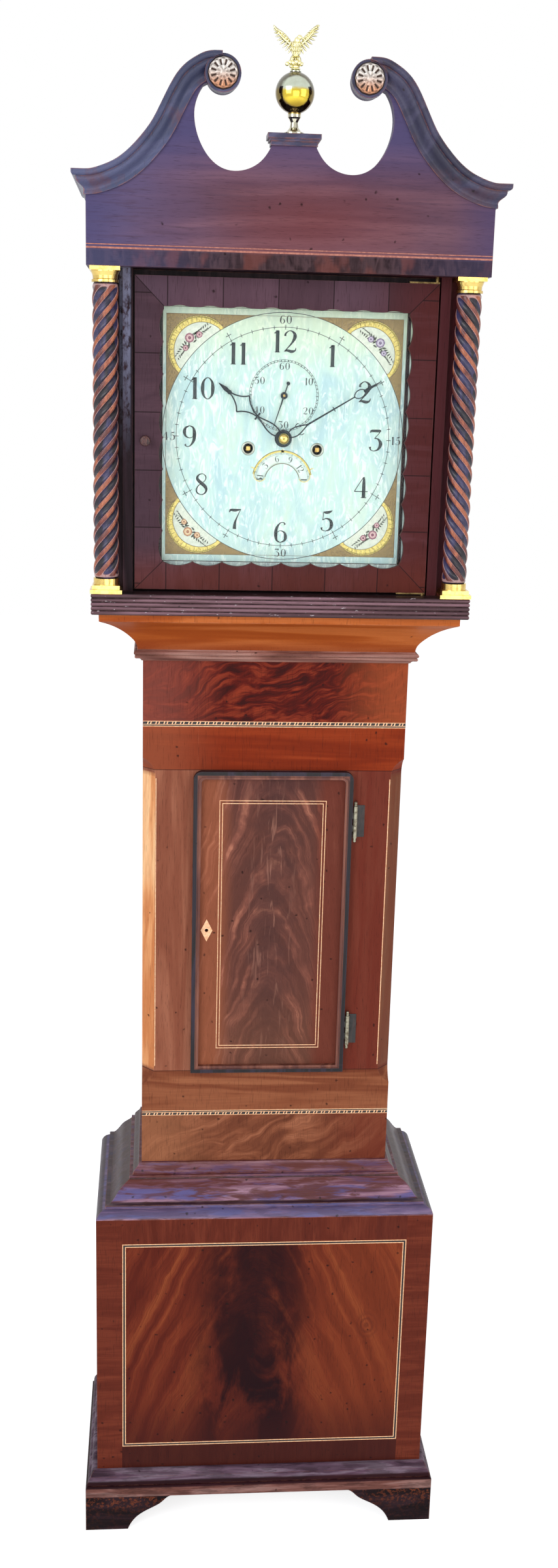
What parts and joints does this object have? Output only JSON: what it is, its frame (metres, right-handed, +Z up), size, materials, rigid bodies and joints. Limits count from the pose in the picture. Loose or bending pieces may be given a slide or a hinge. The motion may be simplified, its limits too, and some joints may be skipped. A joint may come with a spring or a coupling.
{
  "type": "longcase clock",
  "caption": "Tall weight-driven floor clock: bracket feet, inlaid base and narrow trunk with door, sliding hood with twist columns, glazed dial door and swan neck pediment.",
  "frame": {"origin": "on the floor, under the middle of the bounding box", "axes": "+Z up, -Y is the front with the dial, +X is the viewer's right when facing the dial"},
  "size_m": [0.545, 0.266, 2.145],
  "materials": {
    "mahogany": "polished red-brown mahogany, strongly figured",
    "mahogany_dark": "dark polished mahogany with an aged surface",
    "mahogany_orange": "lighter orange-brown polished mahogany",
    "oak": "plain unfinished oak and pine carcass wood",
    "inlay": "pale boxwood stringing and slanted bands, dark between",
    "brass": "polished brass",
    "brass_aged": "aged movement brass",
    "steel": "polished steel",
    "blued": "dark blued steel",
    "iron": "dark iron",
    "dial_paint": "pale painted iron with flower corners",
    "glass": "thin clear glass",
    "bell_metal": "pale cast bell metal",
    "gut": "twisted gut line",
    "bone": "bone"
  },
  "bodies": {
    "case": {"backboard": "oak", "base_panels": "mahogany", "base_top_moulding": "mahogany_dark", "foot_moulding_and_feet": "mahogany_dark", "trunk_sides_and_seat_board": "mahogany", "trunk_front_frame": "mahogany", "throat_moulding": "mahogany_orange", "case_inlay": "inlay", "trunk_hinge_leaves": "brass", "dial": "dial_paint", "movement_frame": "brass_aged", "bell": "bell_metal", "going_line": "gut", "strike_line": "gut"},
    "hood": {"hood_carcass": "mahogany_dark", "hood_base_frame": "mahogany_dark", "dial_mask": "mahogany_dark", "pediment_board": "mahogany_dark", "cornice_mouldings": "mahogany_dark", "rosettes": "brass", "plinth_cap": "mahogany_dark", "finial_ball": "brass", "finial_eagle": "brass", "front_columns": "mahogany", "column_brasses": "brass", "frieze_stringing": "inlay"},
    "hood_door": {"hood_door_frame": "mahogany_dark", "hood_door_glass": "glass", "hood_door_brasses": "brass"},
    "trunk_door": {"trunk_door_panel": "mahogany", "trunk_door_moulding": "mahogany_dark", "trunk_door_inlay": "inlay", "trunk_door_lock": "iron", "trunk_door_hinge_leaves": "brass"},
    "bolt": {"lock_bolt": "steel"},
    "minute": {"minute_hand": "blued", "centre_arbor": "brass_aged"},
    "hour": {"hour_hand": "blued"},
    "seconds": {"seconds_hand": "blued", "escape_arbor": "brass_aged"},
    "third_wheel": {"third_arbor": "brass_aged"},
    "going_great": {"going_great_wheel": "brass_aged"},
    "strike_great": {"strike_great_wheel": "brass_aged"},
    "going_drum": {"going_barrel": "brass_aged"},
    "strike_drum": {"strike_barrel": "brass_aged"},
    "motion_wheel": {"minute_wheel": "brass_aged"},
    "calendar": {"calendar_disc": "dial_paint"},
    "pin_wheel": {"pin_wheel_arbor": "brass_aged"},
    "gathering": {"gathering_arbor": "brass_aged"},
    "fly": {"fly_arbor": "brass_aged"},
    "anchor_body": {"anchor": "steel"},
    "pendulum": {"pendulum_rod": "steel", "pendulum_bob": "brass"},
    "nut": {"rating_nut": "brass"},
    "hammer_body": {"hammer": "steel"},
    "going_weight_body": {"going_weight": "brass"},
    "strike_weight_body": {"strike_weight": "brass"},
    "going_pulley_body": {"going_pulley": "brass"},
    "strike_pulley_body": {"strike_pulley": "brass"}
  },
  "joints": [
    {"name": "hood_slide", "type": "slide", "parent": "case", "child": "hood", "axis": [0, -1, 0], "range_m": [0, 0.28]},
    {"name": "hood_door_swing", "type": "hinge", "parent": "hood", "child": "hood_door", "pos_m": [0.1925, -0.08, 1.652], "axis": [0, 0, 1], "range_deg": [0, 95]},
    {"name": "trunk_door_swing", "type": "hinge", "parent": "case", "child": "trunk_door", "pos_m": [0.1175, -0.051, 0.963], "axis": [0, 0, 1], "range_deg": [0, 110]},
    {"name": "lock_bolt_throw", "type": "slide", "parent": "trunk_door", "child": "bolt", "axis": [-1, 0, 0], "range_m": [0, 0.008]},
    {"name": "minute_hand_turn", "type": "hinge", "parent": "case", "child": "minute", "pos_m": [0, 0, 1.6515], "axis": [0, 1, 0], "continuous": true},
    {"name": "hour_hand_turn", "type": "hinge", "parent": "case", "child": "hour", "pos_m": [0, 0, 1.6515], "axis": [0, 1, 0], "continuous": true},
    {"name": "motion_wheel_turn", "type": "hinge", "parent": "case", "child": "motion_wheel", "pos_m": [-0.019, 0, 1.6335], "axis": [0, 1, 0], "continuous": true},
    {"name": "third_wheel_turn", "type": "hinge", "parent": "case", "child": "third_wheel", "pos_m": [0.0108, 0, 1.6819], "axis": [0, 1, 0], "continuous": true},
    {"name": "seconds_hand_turn", "type": "hinge", "parent": "case", "child": "seconds", "pos_m": [0, 0, 1.7065], "axis": [0, 1, 0], "continuous": true},
    {"name": "going_great_turn", "type": "hinge", "parent": "case", "child": "going_great", "pos_m": [0.046, 0, 1.6375], "axis": [0, 1, 0], "continuous": true},
    {"name": "calendar_turn", "type": "hinge", "parent": "case", "child": "calendar", "pos_m": [0, 0, 1.5955], "axis": [0, 1, 0], "continuous": true},
    {"name": "gathering_turn", "type": "hinge", "parent": "case", "child": "gathering", "pos_m": [-0.034, 0, 1.6985], "axis": [0, 1, 0], "continuous": true},
    {"name": "pin_wheel_turn", "type": "hinge", "parent": "case", "child": "pin_wheel", "pos_m": [-0.058, 0, 1.6795], "axis": [0, 1, 0], "continuous": true},
    {"name": "strike_great_turn", "type": "hinge", "parent": "case", "child": "strike_great", "pos_m": [-0.046, 0, 1.6375], "axis": [0, 1, 0], "continuous": true},
    {"name": "fly_turn", "type": "hinge", "parent": "case", "child": "fly", "pos_m": [-0.0463, 0, 1.7205], "axis": [0, 1, 0], "continuous": true},
    {"name": "going_weight_rise", "type": "slide", "parent": "case", "child": "going_weight_body", "axis": [0, 0, 1], "range_m": [0, 0.9], "deforming": ["going_line"]},
    {"name": "strike_weight_rise", "type": "slide", "parent": "case", "child": "strike_weight_body", "axis": [0, 0, 1], "range_m": [0, 0.9], "deforming": ["strike_line"]},
    {"name": "going_barrel_turn", "type": "hinge", "parent": "case", "child": "going_drum", "pos_m": [0.046, 0, 1.6375], "axis": [0, 1, 0], "range_deg": [0, 3970]},
    {"name": "strike_barrel_turn", "type": "hinge", "parent": "case", "child": "strike_drum", "pos_m": [-0.046, 0, 1.6375], "axis": [0, 1, 0], "range_deg": [0, 3970]},
    {"name": "going_pulley_turn", "type": "hinge", "parent": "going_weight_body", "child": "going_pulley_body", "pos_m": [0.045, 0.007, 0.59], "axis": [0, 1, 0], "range_deg": [0, 2070]},
    {"name": "strike_pulley_turn", "type": "hinge", "parent": "strike_weight_body", "child": "strike_pulley_body", "pos_m": [-0.047, 0.007, 0.59], "axis": [0, 1, 0], "range_deg": [0, 2070]},
    {"name": "pendulum_swing", "type": "hinge", "parent": "case", "child": "pendulum", "pos_m": [0, 0.063, 1.743], "axis": [0, 1, 0], "range_deg": [-2.5, 2.5]},
    {"name": "anchor_rock", "type": "hinge", "parent": "case", "child": "anchor_body", "pos_m": [0, 0, 1.743], "axis": [0, 1, 0], "range_deg": [-2.5, 2.5]},
    {"name": "rating_nut_turn", "type": "hinge", "parent": "pendulum", "child": "nut", "pos_m": [0, 0.063, 0.688], "axis": [0, 0, 1], "continuous": true},
    {"name": "hammer_lift", "type": "hinge", "parent": "case", "child": "hammer_body", "pos_m": [-0.066, 0, 1.738], "axis": [0, 1, 0], "range_deg": [-10, 0], "stiffness_Nm_per_rad": 0.3, "springref_deg": 8.59}
  ],
  "couplings": [
    {"joint": "hour_hand_turn", "follows": "minute_hand_turn", "ratio": 0.083333},
    {"joint": "motion_wheel_turn", "follows": "minute_hand_turn", "ratio": -1},
    {"joint": "third_wheel_turn", "follows": "minute_hand_turn", "ratio": -7.5},
    {"joint": "seconds_hand_turn", "follows": "minute_hand_turn", "ratio": 60},
    {"joint": "going_great_turn", "follows": "minute_hand_turn", "ratio": -0.083333},
    {"joint": "calendar_turn", "follows": "minute_hand_turn", "ratio": -0.0013441},
    {"joint": "pin_wheel_turn", "follows": "gathering_turn", "ratio": -0.125},
    {"joint": "strike_great_turn", "follows": "gathering_turn", "ratio": 0.011905},
    {"joint": "fly_turn", "follows": "gathering_turn", "ratio": -8},
    {"joint": "going_barrel_turn", "follows": "going_weight_rise", "rad_per_m": 76.923},
    {"joint": "strike_barrel_turn", "follows": "strike_weight_rise", "rad_per_m": 76.923},
    {"joint": "going_pulley_turn", "follows": "going_weight_rise", "rad_per_m": 40},
    {"joint": "strike_pulley_turn", "follows": "strike_weight_rise", "rad_per_m": 40},
    {"joint": "anchor_rock", "follows": "pendulum_swing", "ratio": 1}
  ]
}
